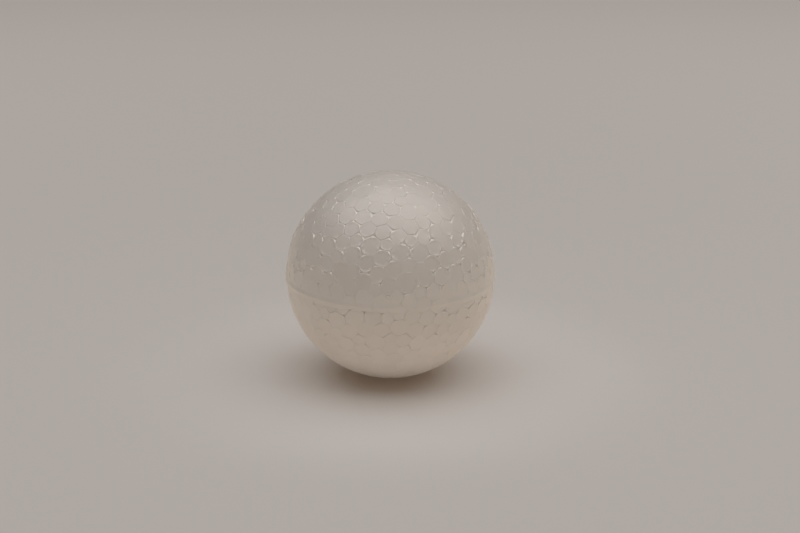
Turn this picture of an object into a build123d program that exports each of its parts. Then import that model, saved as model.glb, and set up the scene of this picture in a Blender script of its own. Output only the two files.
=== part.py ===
# A craft ball moulded from bead foam. It is one solid piece with nothing inside it. Where the
# two halves of the mould met, a low pointed line stands round the equator.
#
# Millimetres. The origin is the centre of the ball, and +Z is square to the plane of the
# mould line. The ball has no flat, no hole and no other feature.

import os
from math import sqrt

from build123d import *

# Driving dimensions
ball_diameter = 50.0  # over the moulded surface, clear of the mould line
line_height = 0.45  # from that surface to the crest of the mould line
line_width = 2.0  # across the mould line, where its flanks meet the ball
line_crest_radius = 0.25  # the crest isn't sharp
line_root_radius = 0.6  # each flank runs out into the ball

# Worked out from them
ball_radius = ball_diameter / 2
crest_centre = ball_radius + line_height - line_crest_radius
root_height = line_width / 2
root_radius = sqrt(ball_radius**2 - root_height**2)

with BuildPart() as foam_ball:
    with BuildSketch(Plane.XZ) as half_section:
        # The mould line: two straight flanks from the ball's surface to a round crest
        with BuildLine():
            CenterArc((crest_centre, 0), line_crest_radius, 0, 360)
            Line((root_radius, -root_height), (root_radius, root_height))
        make_hull()

        # The ball itself, from pole to pole
        with BuildLine():
            CenterArc((0, 0), ball_radius, -90, 180)
            Line((0, ball_radius), (0, -ball_radius))
        make_face()

        # Outwards from the axis, the corners are the two poles, the two roots and the crest
        line_roots = half_section.vertices().group_by(Axis.X)[1]
        fillet(line_roots, radius=line_root_radius)
    revolve(axis=Axis.Z)

foam_ball.part.label = "foam_ball"

os.makedirs("parts", exist_ok=True)
export_step(foam_ball.part, "parts/foam_ball.step")
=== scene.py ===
# Foam ball: a craft ball of moulded bead foam, with the mould's raised line round its equator.
# The bead pattern is a Geometry Nodes tree, and the line is cut and raised on its plain mesh.

import math

import bmesh
import bpy
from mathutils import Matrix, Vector, noise


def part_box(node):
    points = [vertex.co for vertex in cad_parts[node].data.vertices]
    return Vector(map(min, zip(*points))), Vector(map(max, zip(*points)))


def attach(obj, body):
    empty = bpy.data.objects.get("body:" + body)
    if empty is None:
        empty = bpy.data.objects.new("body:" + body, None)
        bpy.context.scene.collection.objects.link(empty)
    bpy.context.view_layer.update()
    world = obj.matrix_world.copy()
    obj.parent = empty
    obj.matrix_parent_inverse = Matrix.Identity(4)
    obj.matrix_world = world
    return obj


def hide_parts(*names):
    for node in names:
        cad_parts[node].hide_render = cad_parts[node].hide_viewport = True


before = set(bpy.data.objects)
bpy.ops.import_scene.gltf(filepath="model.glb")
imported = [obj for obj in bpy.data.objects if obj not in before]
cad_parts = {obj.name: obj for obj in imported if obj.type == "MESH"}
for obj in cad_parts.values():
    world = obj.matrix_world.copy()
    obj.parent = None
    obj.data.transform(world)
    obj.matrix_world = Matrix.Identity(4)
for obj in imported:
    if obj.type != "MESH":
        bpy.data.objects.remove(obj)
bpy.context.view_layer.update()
print("frame loaded:", sorted(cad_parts))

lowCorner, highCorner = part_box("foam_ball")
ballRadius = (highCorner[2] - lowCorner[2]) / 2  # the poles carry no mould line
lineCrest = (highCorner[0] - lowCorner[0]) / 2 - ballRadius  # the line's height over the ball
mm = 0.001


# node helpers: inputs are given by name or number, as plain values or as sockets to link
def addNode(tree, kind, inputs=None, **settings):
    node = tree.nodes.new(kind)
    node.location = (190 * len(tree.nodes), 0)
    for name, value in settings.items():
        setattr(node, name, value)
    for name, value in (inputs or {}).items():
        if isinstance(value, bpy.types.NodeSocket):
            tree.links.new(value, node.inputs[name])
        else:
            node.inputs[name].default_value = value
    return node


def calc(tree, operation, *values):
    node = addNode(tree, "ShaderNodeMath", dict(enumerate(values)), operation=operation)
    return node.outputs[0]


def times(tree, first, *others):
    for other in others:
        first = calc(tree, "MULTIPLY", first, other)
    return first


def total(tree, first, *others):
    for other in others:
        first = calc(tree, "ADD", first, other)
    return first


def vectorCalc(tree, operation, first, second=None):
    inputs = {0: first}
    if second is not None:
        inputs["Scale" if operation == "SCALE" else 1] = second
    node = addNode(tree, "ShaderNodeVectorMath", inputs, operation=operation)
    return node.outputs["Value" if operation in ("LENGTH", "DISTANCE", "DOT_PRODUCT") else "Vector"]


def remap(tree, value, low, high, toLow, toHigh, kind="SMOOTHSTEP"):
    inputs = {"Value": value, "From Min": low, "From Max": high, "To Min": toLow, "To Max": toHigh}
    return addNode(tree, "ShaderNodeMapRange", inputs, interpolation_type=kind).outputs[0]


# the beads' pattern: every size here is a named input of its tree
beads = {
    "Ball Radius": ballRadius,
    "Skin Sink": 0.06 * mm,  # so that lips and crowns stay inside the ball's own size
    "Bead Spacing": 2.98 * mm,  # nearest that two bead centres may start
    "Seed": 11,
    "Relax Rounds": 2,
    "Inner Share": 0.7,  # of a bead, inside its ring of groove rows
    "Ring Reach": 1.5,  # the ring's inner edge ends up this many groove widths in
    "Ring Limit": 0.4,  # but within this share of the bead
    "Round Over": 2.2,  # how sharply a bead rounds over into its groove
    "Groove Width": 0.15 * mm,  # from a groove's middle to its shoulder
    "Groove Depth": 0.045 * mm,
    "Groove Patches": 420.0,  # grooves come and go, this often in a metre
    "Top Grooves": 1.35,  # times as deep near the top
    "Side Grooves": 0.15,  # and down the sides to the mould line
    "Seam Width": 0.10 * mm,  # of the soft step between two beads whose groove is shut
    "Dash Depth": 3.4,  # under the mould line grooves are short dashes, so many times as deep
    "Dash Patches": 640.0,
    "Dash End": -0.62,  # of the radius, and from there down they are faint
    "Crowding": 0.45,  # share of the way that points move to the nearest meeting, for finer pits
    "Crowd Core": 0.3 * mm,  # this near to it they all do
    "Crowd Reach": 1.1 * mm,  # and further off than this they stay
    "Pits Start": 0.24,  # a meeting with less chance than this is all but shut
    "Pits Full": 0.78,  # and with more than this it is a full pit
    "Pinhole Rarity": 60.0,
    "Pit Reach": 0.47 * mm,  # how far a pit runs along the grooves that meet in it
    "Pit Falloff": 1.4,
    "Pit Width": 0.30 * mm,
    "Pit Depth": 0.26 * mm,
    "Pit Lip": 0.15 * mm,  # its rim stands up
    "Side Lips": 1.4,  # times as proud down the sides, above the mould line
    "Lips Full": 5.0 * mm,  # up to this far above it
    "Lips Plain": 13.0 * mm,  # and they are plain from here
    "Top Pits": 0.36,  # times as open near the top
    "Low Pits": 0.5,  # and under the mould line
    "Bead Lift": 0.02 * mm,  # beads stand this much higher or lower
    "Proud Lift": 0.16 * mm,  # and a few stand out by this much more
    "Proud Rarity": 11.0,
    "Bead Tilt": 0.04 * mm,  # they lean by this much at their edge
    "Bead Crown": 0.018 * mm,
    "Ripple": 0.03 * mm,
    "Ripple Scale": 640.0,
    "Low Relief": 0.55,  # share of all that under the mould line
    "Line Clear": 1.5 * mm,  # grooves are pressed nearly shut this near above the mould line
    "Line Fade": 2.6,  # and are themselves again this many times as far off
    "Line Grooves": 0.28,  # share of their size that is left there
    "Line Relief": 0.35,  # and of the beads' own relief, right on the line
    "Line Blend": 2.0 * mm,  # above and below the line, grooves turn into dashes over this much
    "Line Dullness": 0.9,  # share of the torn skin's shine that is lost beside the line
    "Shine Start": 2.0 * mm,  # up to this far above it
    "Shine Full": 9.0 * mm,
}


def onSphere(tree, points, radius):
    place = addNode(tree, "GeometryNodeInputPosition").outputs[0]
    moved = vectorCalc(tree, "SCALE", vectorCalc(tree, "NORMALIZE", place), radius)
    return addNode(tree, "GeometryNodeSetPosition", {"Geometry": points, "Position": moved}).outputs[0]


def cellsFromPoints(tree, points, radius):
    hull = addNode(tree, "GeometryNodeConvexHull", {"Geometry": points})
    dual = addNode(tree, "GeometryNodeDualMesh", {"Mesh": hull.outputs[0]})
    return onSphere(tree, dual.outputs[0], radius)


def randomValue(tree, low, high, seed, kind="FLOAT"):
    node = addNode(tree, "FunctionNodeRandomValue", {"Seed": seed}, data_type=kind)
    plugs = [plug for plug in node.inputs if plug.enabled and plug.name in ("Min", "Max")]
    plugs[0].default_value = low
    plugs[1].default_value = high
    return next(plug for plug in node.outputs if plug.enabled)


def store(tree, geometry, name, value, domain, kind="FLOAT"):
    node = addNode(tree, "GeometryNodeStoreNamedAttribute", domain=domain, data_type=kind)
    node.inputs["Name"].default_value = name
    tree.links.new(geometry, node.inputs["Geometry"])
    tree.links.new(value, next(plug for plug in node.inputs if plug.enabled and plug.name == "Value"))
    return node.outputs[0]


def read(tree, name, kind="FLOAT"):
    node = addNode(tree, "GeometryNodeInputNamedAttribute", {"Name": name}, data_type=kind)
    return next(plug for plug in node.outputs if plug.enabled and plug.name == "Attribute")


def sampleAt(tree, geometry, index, value, kind="FLOAT"):
    node = addNode(tree, "GeometryNodeSampleIndex", data_type=kind, domain="POINT")
    tree.links.new(geometry, node.inputs["Geometry"])
    tree.links.new(index, node.inputs["Index"])
    tree.links.new(value, next(plug for plug in node.inputs if plug.enabled and plug.name == "Value"))
    return next(plug for plug in node.outputs if plug.enabled)


def scatterBeads(tree, given):
    inputs = {"Radius": given["Ball Radius"], "Subdivisions": 5}
    start = addNode(tree, "GeometryNodeMeshIcoSphere", inputs)
    spread = addNode(tree, "GeometryNodeDistributePointsOnFaces", distribute_method="POISSON")
    tree.links.new(start.outputs["Mesh"], spread.inputs["Mesh"])
    tree.links.new(given["Bead Spacing"], spread.inputs["Distance Min"])
    tree.links.new(given["Seed"], spread.inputs["Seed"])
    spread.inputs["Density Max"].default_value = 1.5e6  # more than fit, so the spacing decides
    points = onSphere(tree, spread.outputs["Points"], given["Ball Radius"])

    # each round moves every bead's centre to the middle of its cell, so they even out
    begin = tree.nodes.new("GeometryNodeRepeatInput")
    end = tree.nodes.new("GeometryNodeRepeatOutput")
    begin.pair_with_output(end)
    tree.links.new(given["Relax Rounds"], begin.inputs["Iterations"])
    tree.links.new(points, begin.inputs["Geometry"])
    cells = cellsFromPoints(tree, begin.outputs["Geometry"], given["Ball Radius"])
    middles = addNode(tree, "GeometryNodeMeshToPoints", {"Mesh": cells}, mode="FACES")
    tree.links.new(onSphere(tree, middles.outputs[0], given["Ball Radius"]), end.inputs["Geometry"])
    return cellsFromPoints(tree, end.outputs["Geometry"], given["Ball Radius"])


def ringTheBeads(tree, cells, given):
    # every cell keeps its centre, size and random numbers, then gets a ring for its groove
    place = addNode(tree, "GeometryNodeInputPosition").outputs[0]
    area = addNode(tree, "GeometryNodeInputMeshFaceArea").outputs[0]
    span = calc(tree, "SQRT", calc(tree, "DIVIDE", area, math.pi))
    lean = randomValue(tree, (-1, -1, -1), (1, 1, 1), seed=3, kind="FLOAT_VECTOR")
    cells = store(tree, cells, "beadCentre", place, "FACE", "FLOAT_VECTOR")
    cells = store(tree, cells, "beadSpan", span, "FACE")
    cells = store(tree, cells, "beadLean", lean, "FACE", "FLOAT_VECTOR")
    cells = store(tree, cells, "beadRise", randomValue(tree, -1.0, 1.0, seed=4), "FACE")
    cells = store(tree, cells, "beadTone", randomValue(tree, 0.0, 1.0, seed=5), "FACE")

    inputs = {"Mesh": cells, "Offset Scale": 0.0}
    ringed = addNode(tree, "GeometryNodeExtrudeMesh", inputs, mode="FACES")
    ringed.inputs["Individual"].default_value = True
    inner = ringed.outputs["Top"]
    shrunk = addNode(tree, "GeometryNodeScaleElements", {"Scale": given["Inner Share"]}, domain="FACE")
    tree.links.new(ringed.outputs["Mesh"], shrunk.inputs["Geometry"])
    tree.links.new(inner, shrunk.inputs["Selection"])
    rows = store(tree, shrunk.outputs[0], "row", inner, "POINT")
    return addNode(tree, "GeometryNodeSubdivideMesh", {"Mesh": rows, "Level": 2}).outputs[0]


def heightOf(tree, place):
    return addNode(tree, "ShaderNodeSeparateXYZ", {0: place}).outputs["Z"]


def noiseAt(tree, place, scale, detail):
    inputs = {"Vector": place, "Scale": scale, "Detail": detail}
    return addNode(tree, "ShaderNodeTexNoise", inputs).outputs[0]


def grooveSizes(tree, spot, given):
    # above the mould line a fine line comes and goes, and grows towards the top
    height = heightOf(tree, spot)
    share = calc(tree, "DIVIDE", height, given["Ball Radius"])
    line = remap(tree, noiseAt(tree, spot, given["Groove Patches"], 1.5), 0.35, 0.60, 0.35, 1.1)
    level = remap(tree, share, 0.35, 0.7, given["Side Grooves"], given["Top Grooves"])
    line = times(tree, line, level)

    # below it only the peaks of a finer noise open, as dashes, and they fade out lower down
    dash = remap(tree, noiseAt(tree, spot, given["Dash Patches"], 1.0), 0.56, 0.64, 0.0, 1.0)
    dashFade = times(tree, given["Dash End"], 0.6)
    dash = times(tree, dash, remap(tree, share, given["Dash End"], dashFade, 0.2, 1.0))

    blend = given["Line Blend"]
    below = remap(tree, height, times(tree, blend, -1.0), blend, 1.0, 0.0)
    line = times(tree, line, calc(tree, "SUBTRACT", 1.0, below))
    dash = times(tree, dash, below)
    return total(tree, line, dash), total(tree, line, times(tree, dash, given["Dash Depth"]))


def pitSizes(tree, spot, cells, given):
    # where three beads meet there may be a pit: chance opens about half of them, and a few of
    # those are deep pinholes
    inputs = {"Geometry": cells, "Sample Position": spot}
    nearest = addNode(tree, "GeometryNodeSampleNearest", inputs, domain="POINT").outputs[0]
    corner = addNode(tree, "GeometryNodeInputPosition").outputs[0]
    meeting = sampleAt(tree, cells, nearest, corner, "FLOAT_VECTOR")
    chance = sampleAt(tree, cells, nearest, randomValue(tree, 0.0, 1.0, seed=9))
    share = calc(tree, "DIVIDE", heightOf(tree, meeting), given["Ball Radius"])
    common = times(tree, remap(tree, chance, given["Pits Start"], given["Pits Full"], 0.04, 1.15),
                   remap(tree, share, 0.5, 0.75, 1.0, given["Top Pits"]),
                   remap(tree, share, -0.3, 0.1, given["Low Pits"], 1.0))
    pinhole = calc(tree, "POWER", chance, given["Pinhole Rarity"])
    return meeting, total(tree, common, pinhole)


def beadRelief(tree, base, centre, span, row, given):
    # each bead stands and leans a little, has a low crown, and ripples
    outward = vectorCalc(tree, "SUBTRACT", base, centre)
    outward = vectorCalc(tree, "SCALE", outward, calc(tree, "DIVIDE", 1.0, span))
    out = vectorCalc(tree, "LENGTH", outward)
    lean = vectorCalc(tree, "DOT_PRODUCT", outward, read(tree, "beadLean", "FLOAT_VECTOR"))
    standing = read(tree, "beadRise")
    few = calc(tree, "POWER", calc(tree, "MAXIMUM", standing, 0.0), given["Proud Rarity"])
    crown = times(tree, calc(tree, "SUBTRACT", 0.5, times(tree, out, out)), row)
    ripple = calc(tree, "SUBTRACT", noiseAt(tree, base, given["Ripple Scale"], 2.0), 0.5)
    return total(tree, times(tree, standing, given["Bead Lift"]),
                 times(tree, few, given["Proud Lift"]), times(tree, lean, given["Bead Tilt"]),
                 times(tree, crown, given["Bead Crown"]), times(tree, ripple, given["Ripple"]))


def spotOnCell(tree, centre, row, given):
    # undoes the ring's scaling, so that every row knows the spot on the cell that it came from
    lost = calc(tree, "SUBTRACT", 1.0, given["Inner Share"])
    shareLeft = calc(tree, "SUBTRACT", 1.0, times(tree, row, lost))
    place = addNode(tree, "GeometryNodeInputPosition").outputs[0]
    outward = vectorCalc(tree, "SUBTRACT", place, centre)
    spread = vectorCalc(tree, "SCALE", outward, calc(tree, "DIVIDE", 1.0, shareLeft))
    return vectorCalc(tree, "ADD", centre, spread)


def crowdIn(tree, spot, meeting, given):
    apart = vectorCalc(tree, "DISTANCE", spot, meeting)
    crowd = remap(tree, apart, given["Crowd Core"], given["Crowd Reach"], given["Crowding"], 0.0)
    pull = vectorCalc(tree, "SCALE", vectorCalc(tree, "SUBTRACT", meeting, spot), crowd)
    return vectorCalc(tree, "ADD", spot, pull)


def pressedByTheLine(tree, height, given):
    # just above the mould line the mould has pressed the grooves nearly shut and the beads flat
    farLine = times(tree, given["Line Clear"], given["Line Fade"])
    clear = remap(tree, height, given["Line Clear"], farLine, given["Line Grooves"], 1.0)
    under = remap(tree, height, times(tree, given["Line Clear"], -1.0), 0.0, 1.0, 0.0)
    calm = remap(tree, calc(tree, "ABSOLUTE", height), 0.0, farLine, given["Line Relief"], 1.0)
    return calc(tree, "MAXIMUM", clear, under), calm


def markSkin(tree, fine, groove, pit, row, height, given):
    # the material reads these: how deep the skin is, which sets painted shade in grooves and pits,
    # where it is torn, and where it shines
    marked = store(tree, fine, "groove", calc(tree, "DIVIDE", groove, given["Pit Depth"]), "POINT")
    torn = times(tree, pit, remap(tree, row, 0.0, 1.0, 1.0, 0.3))
    # torn skin is whitened above the mould line, partly its own whiteness and partly a painted glint on
    # the lit upper half, and shines less the nearer it is to the line
    above = remap(tree, height, -1.0 * mm, 1.0 * mm, 0.0, 1.0)
    beside = remap(tree, height, given["Shine Start"], given["Shine Full"], given["Line Dullness"], 0.0)
    dull = times(tree, above, beside)
    marked = store(tree, marked, "torn", times(tree, torn, above), "POINT")
    shiny = times(tree, torn, calc(tree, "SUBTRACT", 1.0, dull))
    return store(tree, marked, "shiny", shiny, "POINT")


def shapeBeads(tree, fine, cells, given):
    centre = read(tree, "beadCentre", "FLOAT_VECTOR")
    span = read(tree, "beadSpan")
    row = read(tree, "row")  # 0 in the groove's middle and 1 at the ring's inner edge
    spot = spotOnCell(tree, centre, row, given)
    meeting, pitOpen = pitSizes(tree, spot, cells, given)
    spot = crowdIn(tree, spot, meeting, given)
    height = heightOf(tree, spot)
    clear, calm = pressedByTheLine(tree, height, given)
    wide, deep = grooveSizes(tree, spot, given)
    away = calc(tree, "DIVIDE", vectorCalc(tree, "DISTANCE", spot, meeting), given["Pit Reach"])
    falloff = times(tree, away, away, given["Pit Falloff"], -1.0)
    pit = times(tree, calc(tree, "EXPONENT", falloff), pitOpen, clear)

    # rows close in on the groove, further out beside a pit, which rounds the bead's corners
    width = total(tree, times(tree, given["Groove Width"], wide, clear),
                  times(tree, given["Pit Width"], pit))
    width = calc(tree, "MAXIMUM", width, given["Seam Width"])
    ring = calc(tree, "DIVIDE", times(tree, width, row, given["Ring Reach"]), span)
    shift = calc(tree, "MINIMUM", ring, given["Ring Limit"])
    inward = vectorCalc(tree, "SCALE", vectorCalc(tree, "SUBTRACT", centre, spot), shift)
    base = vectorCalc(tree, "ADD", spot, inward)

    # a groove rounds over to its shoulder, and a pit has steep walls and a lip
    toMiddle = calc(tree, "SUBTRACT", 1.0, calc(tree, "MINIMUM", row, 1.0))
    roundOver = calc(tree, "POWER", toMiddle, given["Round Over"])
    steepWall = remap(tree, row, 0.1, 0.7, 1.0, 0.0)
    groove = total(tree, times(tree, given["Groove Depth"], deep, clear, roundOver),
                   times(tree, given["Pit Depth"], pit, steepWall))
    rim = times(tree, remap(tree, row, 0.3, 0.7, 0.0, 1.0), remap(tree, row, 0.8, 1.0, 1.0, 0.35))
    sideLip = remap(tree, height, given["Lips Full"], given["Lips Plain"], given["Side Lips"], 1.0)
    sideLip = times(tree, sideLip, remap(tree, height, -2.0 * mm, 1.0 * mm, 0.6, 1.0))
    lip = times(tree, given["Pit Lip"], sideLip, pit, rim)

    relief = times(tree, beadRelief(tree, base, centre, span, row, given), calm,
                   remap(tree, height, -3.0 * mm, 1.0 * mm, given["Low Relief"], 1.0),
                   remap(tree, row, 0.0, 1.0, 0.1, 1.0))
    sunk = times(tree, total(tree, groove, given["Skin Sink"]), -1.0)
    reach = total(tree, given["Ball Radius"], relief, lip, sunk)
    final = vectorCalc(tree, "SCALE", vectorCalc(tree, "NORMALIZE", base), reach)

    marked = markSkin(tree, fine, groove, pit, row, height, given)
    return addNode(tree, "GeometryNodeSetPosition", {"Geometry": marked, "Position": final}).outputs[0]


def beadFoamTree():
    tree = bpy.data.node_groups.new("beadFoam", "GeometryNodeTree")
    for name, value in beads.items():
        kind = "NodeSocketInt" if isinstance(value, int) else "NodeSocketFloat"
        tree.interface.new_socket(name=name, in_out="INPUT", socket_type=kind).default_value = value
    tree.interface.new_socket(name="Foam", in_out="INPUT", socket_type="NodeSocketMaterial")
    tree.interface.new_socket(name="Ball", in_out="OUTPUT", socket_type="NodeSocketGeometry")
    given = tree.nodes.new("NodeGroupInput").outputs

    cells = scatterBeads(tree, given)
    fine = ringTheBeads(tree, cells, given)
    shaped = shapeBeads(tree, fine, cells, given)
    for name in ("beadCentre", "beadSpan", "beadLean", "beadRise", "row"):
        inputs = {"Geometry": shaped, "Name": name}
        shaped = addNode(tree, "GeometryNodeRemoveAttribute", inputs).outputs[0]
    whole = addNode(tree, "GeometryNodeRealizeInstances", {"Geometry": shaped}).outputs[0]
    inputs = {"Geometry": whole, "Material": given["Foam"]}
    ball = addNode(tree, "GeometryNodeSetMaterial", inputs).outputs[0]
    addNode(tree, "NodeGroupOutput", {"Ball": ball})
    return tree


def beadFoamMesh(foam):
    maker = bpy.data.objects.new("ballMaker", bpy.data.meshes.new("ballMaker"))
    bpy.context.scene.collection.objects.link(maker)
    tree = beadFoamTree()
    pattern = maker.modifiers.new("beads", "NODES")
    pattern.node_group = tree
    values = dict(beads, Foam=foam)
    for socket in tree.interface.items_tree:
        if socket.in_out == "INPUT":
            pattern[socket.identifier] = values[socket.name]
    made = maker.evaluated_get(bpy.context.evaluated_depsgraph_get())
    mesh = bpy.data.meshes.new_from_object(made)
    maker.modifiers.remove(pattern)
    bpy.data.objects.remove(maker)
    return mesh


# the mould line, cut into the plain mesh and raised there
mouldLine = {
    "halfWidth": 1.0 * mm,
    "levels": (-1.45, -1.2, -1.0, -0.7, -0.4, -0.15, 0.0, 0.15, 0.4, 0.7, 1.0, 1.3),  # in half widths
    "cutReach": 2.2,  # in half widths: only faces this near the line are cut
    "snap": 0.02 * mm,  # a corner this near a level is moved onto it
    "sharpness": 1.35,  # 1 is a plain wedge
    "leftShare": 0.72,  # of the line's height, at the left
    "rightShare": 0.45,  # at the right
    "frontShare": 0.32,  # and at the front and back
    "unevenness": 0.25,  # share of the height that comes and goes
    "unevenScale": 21.0,
    "wander": 0.10 * mm,  # the line isn't quite level
    "wanderScale": 2.3,
    "fadeOut": 4.0,  # in half widths, where the wander has died away
    "creaseLevel": -1.2,  # just under the line is a nick that comes and goes
    "creaseWidth": 0.25,
    "creaseDepth": 0.10 * mm,
    "creaseScale": 9.0,
    "creaseContrast": 4.0,  # the nick comes and goes this sharply
    "foldRounds": 20,
    "foldLimit": 0.05,  # a face that leans in more than this is folded
}


def easeFolds(work):
    # where the rows crowd round a deep pit a few faces fold under, so their corners are evened out
    for _ in range(mouldLine["foldRounds"]):
        work.normal_update()
        folded = [face for face in work.faces
                  if face.normal.dot(face.calc_center_median().normalized()) < mouldLine["foldLimit"]]
        if not folded:
            break
        corners = list(dict.fromkeys(vert for face in folded for vert in face.verts))
        bmesh.ops.smooth_vert(work, verts=corners, factor=0.5,
                              use_axis_x=True, use_axis_y=True, use_axis_z=True)
    print("folds left:", len(folded))


def raiseMouldLine(mesh):
    work = bmesh.new()
    work.from_mesh(mesh)
    half = mouldLine["halfWidth"]
    reach = mouldLine["cutReach"] * half
    for level in mouldLine["levels"]:
        near = [face for face in work.faces if min(abs(v.co.z) for v in face.verts) < reach]
        parts = set(near)
        for face in near:
            parts.update(face.edges)
            parts.update(face.verts)
        bmesh.ops.bisect_plane(work, geom=list(parts), dist=mouldLine["snap"],
                               plane_co=(0, 0, level * half), plane_no=(0, 0, 1))
    crest = lineCrest + beads["Skin Sink"]  # measured from the sunk skin
    for vert in work.verts:
        u = vert.co.z / half
        if abs(u) > mouldLine["fadeOut"]:
            continue
        flat = Vector((vert.co.x, vert.co.y, 0)).normalized()
        sideShare = mouldLine["leftShare"] if flat.x < 0 else mouldLine["rightShare"]
        share = mouldLine["frontShare"] + (sideShare - mouldLine["frontShare"]) * flat.x ** 2
        uneven = 0.5 + 0.5 * noise.noise(flat * mouldLine["unevenScale"])
        ridge = crest * share * (1 - mouldLine["unevenness"] * uneven)
        ridge *= max(0.0, 1 - abs(u)) ** mouldLine["sharpness"]
        nick = max(0.0, 1 - abs(u - mouldLine["creaseLevel"]) / mouldLine["creaseWidth"])
        patch = noise.noise(flat * mouldLine["creaseScale"] + Vector((0, 0, 2)))
        nick *= min(1.0, max(0.0, mouldLine["creaseContrast"] * patch))
        vert.co += flat * (ridge - mouldLine["creaseDepth"] * nick)
        sway = noise.noise(flat * mouldLine["wanderScale"] + Vector((0, 0, 5)))
        vert.co.z += mouldLine["wander"] * sway * (1 - abs(u) / mouldLine["fadeOut"])
    bmesh.ops.triangulate(work, faces=[face for face in work.faces if len(face.verts) > 4])
    easeFolds(work)
    work.to_mesh(mesh)
    work.free()


foamLook = {
    "tone": (0.765, 0.742, 0.73),
    "toneSpread": 0.04,  # from bead to bead, and in soft clouds
    "cloudScale": 160.0,
    "paintedGrooveShade": 0.85,  # painted shade: the colour is darkened this much deep in a groove or pit
    "tornWhiteAndGlint": 1.13,  # on the torn skin round a pit: partly its own whiteness, partly a painted glint
    "roughness": (0.28, 0.42),  # at its smoothest and roughest, in fine patches
    "roughScale": 900.0,
    "gloss": 0.9,
    "tornGlossIor": 2.25,
    "tornRoughness": 0.3,
    "subsurface": 0.35,
    "subsurfaceReach": 10.0 * mm,
    "subsurfaceTint": (1.0, 0.9, 0.8),
    "cellSize": 0.14 * mm,  # the foam's own fine cells
    "cellRelief": 0.012 * mm,
    "cellStrength": 0.5,
}


def foamMaterial():
    material = bpy.data.materials.new("beadFoam")
    material.use_nodes = True
    tree = material.node_tree
    tree.nodes.clear()
    place = addNode(tree, "ShaderNodeTexCoord").outputs["Object"]
    tone = addNode(tree, "ShaderNodeAttribute", attribute_name="beadTone").outputs["Fac"]
    groove = addNode(tree, "ShaderNodeAttribute", attribute_name="groove").outputs["Fac"]
    torn = addNode(tree, "ShaderNodeAttribute", attribute_name="torn").outputs["Fac"]
    shiny = addNode(tree, "ShaderNodeAttribute", attribute_name="shiny").outputs["Fac"]

    cloud = noiseAt(tree, place, foamLook["cloudScale"], 3.0)
    level = times(tree, total(tree, tone, cloud), foamLook["toneSpread"])
    level = total(tree, level, 1.0 - foamLook["toneSpread"])
    # painted shade: darker deep in grooves and pits
    level = times(tree, level, remap(tree, groove, 0.5, 1.2, 1.0, foamLook["paintedGrooveShade"]),
                  # whiter on torn skin above the mould line: partly its own whiteness, partly a painted
                  # glint
                  remap(tree, torn, 0.05, 0.5, 1.0, foamLook["tornWhiteAndGlint"]))
    base = vectorCalc(tree, "SCALE", foamLook["tone"], level)

    cells = addNode(tree, "ShaderNodeTexVoronoi", {"Vector": place, "Scale": 1 / foamLook["cellSize"]})
    inputs = {"Height": cells.outputs["Distance"], "Strength": foamLook["cellStrength"],
              "Distance": foamLook["cellRelief"]}
    relief = addNode(tree, "ShaderNodeBump", inputs).outputs[0]
    smooth, rough = foamLook["roughness"]
    roughness = remap(tree, noiseAt(tree, place, foamLook["roughScale"], 2.0), 0.3, 0.7, smooth, rough)

    skin = addNode(tree, "ShaderNodeBsdfPrincipled", {
        "Base Color": base,
        "Roughness": roughness,
        "Normal": relief,
        "Specular IOR Level": foamLook["gloss"],
        "Subsurface Weight": foamLook["subsurface"],
        "Subsurface Radius": foamLook["subsurfaceTint"],
        "Subsurface Scale": foamLook["subsurfaceReach"],
        "Coat Weight": remap(tree, shiny, 0.05, 0.35, 0.0, 1.0),
        "Coat IOR": foamLook["tornGlossIor"],
        "Coat Roughness": foamLook["tornRoughness"],
    })
    addNode(tree, "ShaderNodeOutputMaterial", {"Surface": skin.outputs[0]})
    return material


def makeBall():
    foam = foamMaterial()
    mesh = beadFoamMesh(foam)
    print("beads shaped:", len(mesh.polygons), "faces")
    raiseMouldLine(mesh)
    mesh.name = "foamBall"
    piece = bpy.data.objects.new("foamBall", mesh)
    bpy.context.scene.collection.objects.link(piece)
    mesh.shade_smooth()
    mesh.calc_loop_triangles()
    print("mould line raised:", len(mesh.loop_triangles), "triangles")
    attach(piece, "root")
    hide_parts("foam_ball")


floorLook = {
    "size": 6.0,
    "colour": (0.684, 0.703, 0.738),
    "paintedPoolLift": 0.17,  # painted light: the floor is painted this much paler beside the ball, a pool of the ball's bounce light
    "nearEdge": 2.9 * ballRadius,  # and fades to plain here
    "paintedFarLight": 0.28,  # painted light: and it is painted paler again far behind
    "farStart": 0.11,
    "farEnd": 0.6,
    "backdropColour": (0.390, 0.353, 0.324),  # it fades into this past what a high camera sees
    "backdropStart": 0.46,
    "backdropEnd": 0.95,
    "paintedShadowFillColour": (0.44, 0.20, 0.03),
    "paintedShadowFill": 0.09,  # share of a warm glow that the camera sees on the floor, a painted light that lifts and warms its shadow
    "bounceColour": (0.98, 0.89, 0.80),  # what the floor throws back at the ball, paler than the floor the camera sees
    # the floor also glows this much for the ball, a painted bounce light
    "paintedBounceGlow": 0.055,
}


def mixed(tree, share, first, second):
    return addNode(tree, "ShaderNodeMixShader", {0: share, 1: first, 2: second}).outputs[0]


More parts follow.
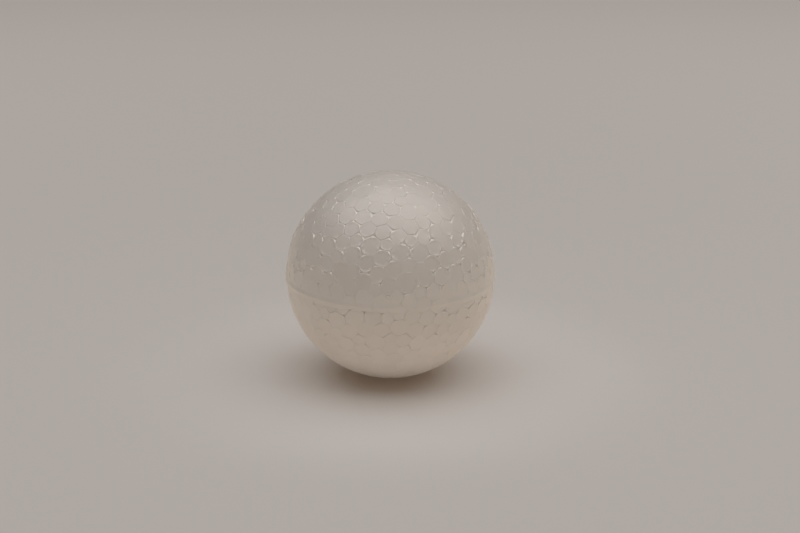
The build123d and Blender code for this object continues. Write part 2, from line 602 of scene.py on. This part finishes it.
def floorMaterial():
    material = bpy.data.materials.new("floorPaint")
    material.use_nodes = True
    tree = material.node_tree
    tree.nodes.clear()
    place = addNode(tree, "ShaderNodeTexCoord").outputs["Object"]
    reach = vectorCalc(tree, "LENGTH", vectorCalc(tree, "MULTIPLY", place, (1, 1, 0)))
    edge = floorLook["nearEdge"]
    # painted light: a pool painted paler beside the ball
    near = remap(tree, reach, edge / 4, edge, 1 + floorLook["paintedPoolLift"], 1.0)
    # painted light: the floor painted paler far behind
    far = remap(tree, reach, floorLook["farStart"], floorLook["farEnd"], 1.0, 1 + floorLook["paintedFarLight"])
    colour = vectorCalc(tree, "SCALE", floorLook["colour"], times(tree, near, far))
    paint = addNode(tree, "ShaderNodeBsdfDiffuse", {"Color": colour}).outputs[0]
    # painted light: a warm glow on the floor that lifts its shadow for the camera
    paintedShadowFill = addNode(tree, "ShaderNodeEmission", {"Color": (*floorLook["paintedShadowFillColour"], 1)}).outputs[0]
    shown = mixed(tree, floorLook["paintedShadowFill"], paint, paintedShadowFill)
    inputs = {"Color": (*floorLook["backdropColour"], 1)}
    backdrop = addNode(tree, "ShaderNodeEmission", inputs).outputs[0]
    hidden = remap(tree, reach, floorLook["backdropStart"], floorLook["backdropEnd"], 0.0, 1.0)
    shown = mixed(tree, hidden, shown, backdrop)

    # only the camera sees that: the ball sees a paler floor, which also glows as a painted bounce light
    # though it is no lamp
    bounceColour = (*floorLook["bounceColour"], 1)
    bounce = addNode(tree, "ShaderNodeBsdfDiffuse", {"Color": bounceColour}).outputs[0]
    inputs = {"Color": bounceColour, "Strength": floorLook["paintedBounceGlow"]}
    lift = addNode(tree, "ShaderNodeEmission", inputs).outputs[0]
    thrown = addNode(tree, "ShaderNodeAddShader", {0: bounce, 1: lift}).outputs[0]
    seen = addNode(tree, "ShaderNodeLightPath").outputs["Is Camera Ray"]
    floor = mixed(tree, seen, thrown, shown)
    addNode(tree, "ShaderNodeOutputMaterial", {"Surface": floor})
    return material


def makeFloor():
    half = floorLook["size"] / 2
    corners = [(-half, -half), (half, -half), (half, half), (-half, half)]
    mesh = bpy.data.meshes.new("floor")
    mesh.from_pydata([(x, y, lowCorner[2]) for x, y in corners], [], [(0, 1, 2, 3)])
    mesh.materials.append(floorMaterial())
    floor = bpy.data.objects.new("floor", mesh)
    bpy.context.scene.collection.objects.link(floor)


studioLight = {
    "roomColour": (1.0, 0.84, 0.67),
    "roomStrength": 0.085,
    "roomSide": 0.65,  # share by which the room is brighter on the right and darker on the left
    "lampColour": (1.0, 0.955, 0.90),
    "lampSize": (1.5, 1.0),  # from left to right, and from front to back
    "lampPower": 5.9,
    "lampPlace": (0.07, -0.02, 0.75),
}


def makeLight():
    world = bpy.data.worlds.new("studio")
    world.use_nodes = True
    tree = world.node_tree
    tree.nodes.clear()
    towards = addNode(tree, "ShaderNodeTexCoord").outputs["Generated"]
    side = addNode(tree, "ShaderNodeSeparateXYZ", {0: towards}).outputs["X"]
    strength = times(tree, total(tree, times(tree, side, studioLight["roomSide"]), 1.0),
                     studioLight["roomStrength"])
    inputs = {"Color": (*studioLight["roomColour"], 1), "Strength": strength}
    room = addNode(tree, "ShaderNodeBackground", inputs).outputs[0]
    inputs = {"Color": (*floorLook["backdropColour"], 1)}
    backdrop = addNode(tree, "ShaderNodeBackground", inputs).outputs[0]
    seen = addNode(tree, "ShaderNodeLightPath").outputs["Is Camera Ray"]
    addNode(tree, "ShaderNodeOutputWorld", {"Surface": mixed(tree, seen, room, backdrop)})
    bpy.context.scene.world = world

    data = bpy.data.lights.new("overheadBox", "AREA")
    data.shape = "RECTANGLE"
    data.size, data.size_y = studioLight["lampSize"]
    data.energy = studioLight["lampPower"]
    data.color = studioLight["lampColour"]
    lamp = bpy.data.objects.new("overheadBox", data)
    lamp.location = studioLight["lampPlace"]
    bpy.context.scene.collection.objects.link(lamp)


view = {
    "elevation": 18.0,
    "lens": 85.0,
    "distance": 0.4535,
    "aside": 2.27 * mm,  # the ball stands left of the middle of the picture
    "above": 1.8 * mm,  # and a little below it
}


def makeCamera():
    lean = math.radians(view["elevation"])
    back = Vector((0, -math.cos(lean), math.sin(lean)))
    up = Vector((0, math.sin(lean), math.cos(lean)))
    data = bpy.data.cameras.new("camera")
    data.lens = view["lens"]
    data.clip_start = 0.01
    camera = bpy.data.objects.new("camera", data)
    aim = Vector((view["aside"], 0, 0)) + up * view["above"]
    camera.location = aim + back * view["distance"]
    camera.rotation_euler = back.to_track_quat("Z", "Y").to_euler()
    bpy.context.scene.collection.objects.link(camera)
    bpy.context.scene.camera = camera


makeBall()
makeFloor()
makeLight()
makeCamera()
bpy.context.scene.view_settings.view_transform = "Standard"
print("stage set")
